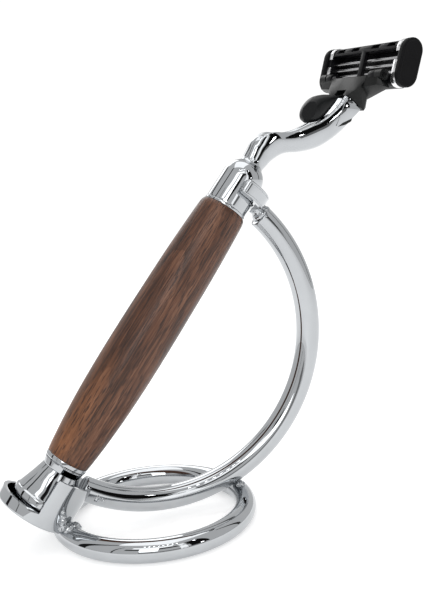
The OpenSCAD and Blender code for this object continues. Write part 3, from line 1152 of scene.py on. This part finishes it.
def make_cartridge_frame():
    """Two rails, end walls and a middle rib, with four slots in the upper rail."""
    bm = bmesh.new()
    reach = RAIL_REACH
    slots = (-11.8, -4.7, 4.7, 11.8)
    top_rail = [(-2.5, 3.7)] + arc(0, 3.95, 2.5, 180, 69, 14) + [(0.9, 3.7)]
    prism(bm, top_rail, -reach, reach)
    for plane, normal in [((0, 0, z), (0, 0, 1)) for z in (4.45, 5.75)] + [
        ((0, y + e, 0), (0, 1, 0)) for y in slots for e in (-1.8, 1.8)
    ]:
        sliced(bm, plane, normal)
    for y in slots:
        gone = []
        for f in bm.faces:
            c = f.calc_center_median()
            if abs(c.y - y) < 1.7 and 4.5 < c.z < 5.7 and (c.x < -1.5 or c.x > 0.85):
                gone.append(f)
        bmesh.ops.delete(bm, geom=gone, context="FACES")
        bmesh.ops.bridge_loops(bm, edges=[e for e in bm.edges if e.is_boundary])
    bottom_rail = [(0.9, -3.3)] + arc(0, -3.95, 2.5, -69, -180, 14) + [(-2.5, -3.3)]
    prism(bm, bottom_rail, -reach, reach)
    for side in (-1, 1):
        prism(bm, stadium_outline(12.9, 5), side * reach, side * 17)
        lug = arc(-4.6, -4.2, 1.5, 90, 270, 10) + [(-1.4, -5.5), (-1.4, -2.9)]
        prism(bm, lug, side * 9, side * 11.6)
    prism(bm, box_outline(-2.5, -1.2, -3.8, 4.2), -0.9, 0.9)
    prism(bm, box_outline(0.905, 0.95, -3.4, 3.8), -reach, reach)
    bmesh.ops.recalc_face_normals(bm, faces=bm.faces)
    soften(bm, 0.12, sharper_than=45, segments=2)
    place_piece(
        "cartridge_frame_moulded",
        bm,
        ON_HEAD,
        "cartridge",
        cartridge_plastic(),
        ["cartridge_frame"],
    )


def make_blades():
    """Three blades, each on its bent steel support."""
    f = finishes()
    duller = [c * 0.62 for c in f.clip_tint]
    support_steel = shared("support_steel", steel_finish, duller, 0.22)
    blade_steel = shared("blade_steel", steel_finish, f.clip_tint, 0.12)
    for i, place in enumerate(("lower", "middle", "upper")):
        z = LOWEST_BLADE + BLADE_PITCH * i
        bent = [(-1.1, z - 0.55), (0.75, z - 0.55)]
        bent += arc(0.6, z - 0.25, 0.3, -60, 0, 4)
        bent += [(0.9, z + 0.55), (0.7, z + 0.55), (0.7, z - 0.1)]
        bent += arc(0.5, z - 0.1, 0.2, 0, -90, 4) + [(-1.1, z - 0.3)]
        bm = bmesh.new()
        prism(bm, bent, -BLADE_REACH, BLADE_REACH)
        name = f"support_{place}"
        place_piece(f"{name}_bent", bm, ON_HEAD, "cartridge", support_steel, [name])

        lie = Matrix.Translation((0.4, 0, z + 0.1)) @ Matrix.Rotation(math.radians(-22), 4, "Y")
        bm = bmesh.new()
        ground = [(0.6, 0.3), (1.75, 0.3), (2.2, 0.39), (2.2, 0.41), (1.75, 0.5), (0.6, 0.5)]
        prism(bm, ground, -BLADE_REACH, BLADE_REACH)
        bmesh.ops.transform(bm, matrix=lie, verts=bm.verts)
        name = f"blade_{place}"
        place_piece(
            f"{name}_ground", bm, ON_HEAD, "cartridge", blade_steel, [name], crease=8
        )


def make_strip_and_guard():
    bm = bmesh.new()
    strip = [(0.95, 3.6), (2.55, 3.6), (2.85, 4.2), (2.75, 5.6), (2.2, 6.4), (0.95, 6.4)]
    prism(bm, strip, -STRIP_REACH, STRIP_REACH)
    soften(bm, 0.15, sharper_than=20, segments=2)
    waxy = shared("waxy_strip", strip_finish)
    place_piece("glide_strip", bm, ON_HEAD, "cartridge", waxy, ["lubricating_strip"])
    bm = bmesh.new()
    prism(bm, box_outline(0.95, 2.25, -6.4, -3.6), -STRIP_REACH, STRIP_REACH)
    for i in range(4):
        z = -6.3 + 0.7 * i
        fin = [(2.0, z), (2.6, z + 0.05)] + arc(2.68, z + 0.175, 0.13, -80, 80, 4)
        fin += [(2.6, z + 0.3), (2.0, z + 0.35)]
        prism(bm, fin, -STRIP_REACH, STRIP_REACH)
    black = finishes().guard_black
    rubber = shared("guard_soft", plastic_finish, black, 0.6, 0.02, 3000, 0.35)
    place_piece("guard_finned", bm, ON_HEAD, "cartridge", rubber, ["guard_fins"])


def make_caps_and_clips():
    f = finishes()
    cap_finish = shared("cap_textured", plastic_finish, f.cap_black, 0.50, 0.022, 3600, 0.10)
    clip_finish = shared("clip_bright", steel_finish, f.clip_tint, 0.2, (1, 1, 0.05))
    for side, cap, clip in ((-1, "near_cap", "near_clip"), (1, "far_cap", "far_clip")):
        bm = bmesh.new()
        prism(bm, stadium_outline(13.6, 7, 20), side * 17, side * 19)
        bmesh.ops.recalc_face_normals(bm, faces=bm.faces)
        face = [g for g in bm.faces if len(g.verts) > 8 and g.calc_center_median().y * side > 18.9]
        bmesh.ops.inset_region(bm, faces=face, thickness=0.75, depth=0)
        bmesh.ops.inset_region(bm, faces=face, thickness=0.18, depth=-0.12)
        soften(bm, 0.42, sharper_than=60, segments=4)
        place_piece(f"{cap}_oval", bm, ON_HEAD, "cartridge", cap_finish, [cap])

        band_from, band_wide = side * 16 - 0.95, 1.9
        path = (
            [(-2.85, 2.75)]
            + arc(0, 3.95, 2.85, 180, 0, 20)
            + arc(0, -3.95, 2.85, 0, -180, 20)
            + [(-2.85, 0.35)]
        )
        bm = bmesh.new()
        verts = [bm.verts.new((x, band_from, z)) for x, z in path]
        edges = [bm.edges.new(pair) for pair in zip(verts, verts[1:])]
        widened = bmesh.ops.extrude_edge_only(bm, edges=edges)
        bmesh.ops.translate(bm, vec=(0, band_wide, 0), verts=new_parts(widened, bmesh.types.BMVert))
        outward_first(bm)
        bmesh.ops.solidify(bm, geom=bm.faces[:], thickness=0.33)
        soften(bm, 0.1, sharper_than=50, segments=2)
        place_piece(f"{clip}_bent", bm, ON_HEAD, "cartridge", clip_finish, [clip])


def outward_first(bm):
    """Turns an open band's faces to point away from the Y axis."""
    for f in bm.faces:
        c = f.calc_center_median()
        f.normal_update()
        if f.normal.x * c.x + f.normal.z * c.z < 0:
            f.normal_flip()


# ---- Stage ----

CAMERA_FORWARD, CAMERA_UP = (0.32036, 0.93625, -0.14423), (0.11203, 0.11374, 0.98717)
DOME_MIDDLE = (0.02, 0, 0.06)  # the cards stand round this point

def card(name, azimuth, elevation, wide, tall, glow, distance=0.7):
    """A card on a dome round the object, seen only in polished surfaces; angles are in degrees."""
    centre = Vector(DOME_MIDDLE)
    bm = bmesh.new()
    bmesh.ops.create_grid(bm, x_segments=16, y_segments=8, size=0.5)
    for v in bm.verts:
        a = math.radians(azimuth + v.co.x * wide)
        e = math.radians(elevation + v.co.y * tall)
        away = (math.sin(a) * math.cos(e), -math.cos(a) * math.cos(e), math.sin(e))
        v.co = centre + distance * Vector(away)
    mesh = bpy.data.meshes.new(name)
    bm.to_mesh(mesh)
    bm.free()
    piece = linked(name, mesh)
    material, tree, shader, where = new_material(f"{name}_glow")
    shader.inputs["Base Color"].default_value = (0, 0, 0, 1)
    shader.inputs["Roughness"].default_value = 1.0
    shader.inputs["Specular IOR Level"].default_value = 0.0
    shader.inputs["Emission Color"].default_value = (1, 1, 1, 1)
    shader.inputs["Emission Strength"].default_value = glow
    mesh.materials.append(material)
    piece.visible_camera = False
    piece.visible_diffuse = False
    piece.visible_transmission = False
    piece.visible_shadow = False
    return piece


def make_cards():
    """Dark gaps and rows of lamps of a light tent."""
    card("gap_right", 30, 27, 21, 44, 0.008)
    card("gap_left", -96, 30, 9, 66, 0.02)
    card("gap_left_line", -62, 26, 2, 50, 0.05)
    card("gap_front_low", 0, 3, 70, 6, 0.25)
    card("gap_front_line", -10, 30, 84, 9, 0.015)
    card("gap_back_line", 180, 40, 110, 5, 0.10)
    card("lamp_bar_front", -22, 44, 50, 7, 2.6)
    card("lamp_bar_right", 12, 22, 8, 44, 1.9)
    card("gap_far_right", 84, 26, 5, 50, 0.03)
    for i in range(8):
        card(f"lamp_dot_{i:02d}", -36 + i * 7, 57, 2.4, 2.4, 12.0)
    for i, e in enumerate((10, 44)):
        card(f"lamp_end_{i}", 32, e, 3.5, 3.5, 10.0, 0.66)


def make_floor():
    bm = bmesh.new()
    bmesh.ops.create_grid(bm, x_segments=4, y_segments=4, size=3)
    mesh = bpy.data.meshes.new("floor_pale")
    bm.to_mesh(mesh)
    bm.free()
    floor = linked("floor_pale", mesh)
    material, tree, shader, where = new_material("pale_floor")
    pale = rgba(stage().floor_colour)
    clouds = speckle(tree, where, 3, 2.0)
    tree.links.new(
        mixed(tree, clouds, pale, rgba([min(1, c * 1.01) for c in stage().floor_colour])),
        shader.inputs["Base Color"],
    )
    shader.inputs["Roughness"].default_value = 0.9
    shader.inputs["Specular IOR Level"].default_value = 0.1
    shader.inputs["Emission Color"].default_value = (1, 1, 1, 1)
    shader.inputs["Emission Strength"].default_value = 0.42
    mesh.materials.append(material)

    backdrop = card("backdrop", 0, 12, 360, 60, 1.05, 5)
    backdrop.visible_camera = True
    backdrop.visible_glossy = False


def soft_light(name, place, target, wide, tall, power):
    light = bpy.data.lights.new(name, "AREA")
    light.shape = "RECTANGLE"
    light.size = wide
    light.size_y = tall
    light.energy = power
    lamp = linked(name, light)
    lamp.location = place
    lamp.rotation_euler = (Vector(target) - Vector(place)).to_track_quat("-Z", "Y").to_euler()
    lamp.visible_camera = False


def make_lights():
    soft_light("key_soft", (-0.24, -0.55, 0.34), (0.0, 0.0, 0.07), 0.22, 0.30, stage().key_power)
    soft_light("rim_soft", (0.02, 0.5, 0.42), (0.07, 0.0, 0.125), 0.3, 0.3, stage().key_power * 0.8)
    soft_light("top_soft", (0.05, 0.05, 0.85), (0.0, 0.0, 0.0), 0.6, 0.6, stage().key_power * 2)


def make_camera():
    view = stage()
    data = bpy.data.cameras.new("view")
    data.lens = view.lens
    data.sensor_width = 36
    data.sensor_fit = "AUTO"
    data.clip_start = 0.01
    data.clip_end = 20
    data.dof.use_dof = False
    camera = linked("view", data)
    forward = Vector(CAMERA_FORWARD).normalized()
    up = Vector(CAMERA_UP)
    right = forward.cross(up).normalized()
    up = right.cross(forward)
    camera.matrix_world = (
        Matrix.Translation(view.camera_place) @ Matrix((right, up, -forward)).transposed().to_4x4()
    )
    bpy.context.scene.camera = camera


def make_world():
    world = bpy.data.worlds.new("light_tent")
    world.use_nodes = True
    background = world.node_tree.nodes["Background"]
    background.inputs["Color"].default_value = (1, 1, 1, 1)
    background.inputs["Strength"].default_value = stage().tent_light
    bpy.context.scene.world = world
    bpy.context.scene.view_settings.view_transform = "Standard"


# ---- Operators ----


class RAZORSTAND_OT_rods(bpy.types.Operator):
    """Make the foot ring and the arc"""

    bl_idname = "razor_stand.rods"
    bl_label = "Ring and Arc"

    def execute(self, context):
        make_foot_ring()
        make_arc_rod()
        return {"FINISHED"}


class RAZORSTAND_OT_cup(bpy.types.Operator):
    """Make the cradle cup"""

    bl_idname = "razor_stand.cup"
    bl_label = "Cradle Cup"

    def execute(self, context):
        make_cup()
        return {"FINISHED"}


class RAZORSTAND_OT_fork(bpy.types.Operator):
    """Make the fork and its collar"""

    bl_idname = "razor_stand.fork"
    bl_label = "Fork"

    def execute(self, context):
        make_fork()
        return {"FINISHED"}


class RAZORSTAND_OT_braze(bpy.types.Operator):
    """Make the lumps of braze"""

    bl_idname = "razor_stand.braze"
    bl_label = "Braze"

    def execute(self, context):
        make_braze()
        return {"FINISHED"}


class RAZORSTAND_OT_fittings(bpy.types.Operator):
    """Make the bell, the ferrules and the washer"""

    bl_idname = "razor_stand.fittings"
    bl_label = "Handle Fittings"

    def execute(self, context):
        make_fittings()
        return {"FINISHED"}


class RAZORSTAND_OT_grip(bpy.types.Operator):
    """Make the wooden grip"""

    bl_idname = "razor_stand.grip"
    bl_label = "Wooden Grip"

    def execute(self, context):
        make_grip()
        return {"FINISHED"}


class RAZORSTAND_OT_inner_parts(bpy.types.Operator):
    """Give the stud, springs, pins and plunger their finishes"""

    bl_idname = "razor_stand.inner_parts"
    bl_label = "Inner Parts"

    def execute(self, context):
        make_inner_parts()
        return {"FINISHED"}


class RAZORSTAND_OT_neck(bpy.types.Operator):
    """Make the S-shaped neck"""

    bl_idname = "razor_stand.neck"
    bl_label = "Neck"

    def execute(self, context):
        make_neck()
        return {"FINISHED"}


class RAZORSTAND_OT_button(bpy.types.Operator):
    """Make the release button"""

    bl_idname = "razor_stand.button"
    bl_label = "Release Button"

    def execute(self, context):
        make_button()
        return {"FINISHED"}


class RAZORSTAND_OT_dock(bpy.types.Operator):
    """Make the dock between the neck and the cartridge"""

    bl_idname = "razor_stand.dock"
    bl_label = "Dock"

    def execute(self, context):
        make_dock()
        return {"FINISHED"}


class RAZORSTAND_OT_cartridge(bpy.types.Operator):
    """Make the cartridge's frame"""

    bl_idname = "razor_stand.cartridge"
    bl_label = "Cartridge Frame"

    def execute(self, context):
        make_cartridge_frame()
        return {"FINISHED"}


class RAZORSTAND_OT_blades(bpy.types.Operator):
    """Make the blades and their supports"""

    bl_idname = "razor_stand.blades"
    bl_label = "Blades"

    def execute(self, context):
        make_blades()
        return {"FINISHED"}


class RAZORSTAND_OT_strip_and_guard(bpy.types.Operator):
    """Make the lubricating strip and the guard"""

    bl_idname = "razor_stand.strip_and_guard"
    bl_label = "Strip and Guard"

    def execute(self, context):
        make_strip_and_guard()
        return {"FINISHED"}


class RAZORSTAND_OT_caps_and_clips(bpy.types.Operator):
    """Make the end caps and the clips"""

    bl_idname = "razor_stand.caps_and_clips"
    bl_label = "Caps and Clips"

    def execute(self, context):
        make_caps_and_clips()
        return {"FINISHED"}


class RAZORSTAND_OT_stage(bpy.types.Operator):
    """Set up the floor, the light tent, the lights and the camera"""

    bl_idname = "razor_stand.stage"
    bl_label = "Stage"

    def execute(self, context):
        make_world()
        make_floor()
        make_cards()
        make_lights()
        make_camera()
        return {"FINISHED"}


OPERATORS = (
    RAZORSTAND_OT_rods,
    RAZORSTAND_OT_cup,
    RAZORSTAND_OT_fork,
    RAZORSTAND_OT_braze,
    RAZORSTAND_OT_fittings,
    RAZORSTAND_OT_grip,
    RAZORSTAND_OT_inner_parts,
    RAZORSTAND_OT_neck,
    RAZORSTAND_OT_button,
    RAZORSTAND_OT_dock,
    RAZORSTAND_OT_cartridge,
    RAZORSTAND_OT_blades,
    RAZORSTAND_OT_strip_and_guard,
    RAZORSTAND_OT_caps_and_clips,
    RAZORSTAND_OT_stage,
)


class RAZORSTAND_PT_panel(bpy.types.Panel):
    """Buttons for the razor stand's pieces, and their sizes and finishes"""

    bl_idname = "RAZORSTAND_PT_panel"
    bl_label = "Razor Stand"
    bl_space_type = "VIEW_3D"
    bl_region_type = "UI"
    bl_category = "Razor Stand"

    def draw(self, context):
        column = self.layout.column(align=True)
        for operator in OPERATORS:
            column.operator(operator.bl_idname)
        for title, group in (("Sizes", sizes()), ("Finishes", finishes()), ("Stage", stage())):
            box = self.layout.box()
            box.label(text=title)
            for name in group.__annotations__:
                box.prop(group, name)


CLASSES = (RazorStandSizes, RazorStandFinishes, RazorStandStage, *OPERATORS, RAZORSTAND_PT_panel)


def register():
    for cls in CLASSES:
        bpy.utils.register_class(cls)
    bpy.types.Scene.razor_stand_sizes = PointerProperty(type=RazorStandSizes)
    bpy.types.Scene.razor_stand_finishes = PointerProperty(type=RazorStandFinishes)
    bpy.types.Scene.razor_stand_stage = PointerProperty(type=RazorStandStage)


def unregister():
    del bpy.types.Scene.razor_stand_stage
    del bpy.types.Scene.razor_stand_finishes
    del bpy.types.Scene.razor_stand_sizes
    for cls in reversed(CLASSES):
        bpy.utils.unregister_class(cls)


def main():
    register()
    bpy.ops.razor_stand.rods()
    bpy.ops.razor_stand.cup()
    bpy.ops.razor_stand.fork()
    bpy.ops.razor_stand.braze()
    bpy.ops.razor_stand.fittings()
    bpy.ops.razor_stand.grip()
    bpy.ops.razor_stand.inner_parts()
    bpy.ops.razor_stand.neck()
    bpy.ops.razor_stand.button()
    bpy.ops.razor_stand.dock()
    bpy.ops.razor_stand.cartridge()
    bpy.ops.razor_stand.blades()
    bpy.ops.razor_stand.strip_and_guard()
    bpy.ops.razor_stand.caps_and_clips()
    bpy.ops.razor_stand.stage()


if __name__ == "__main__":
    main()
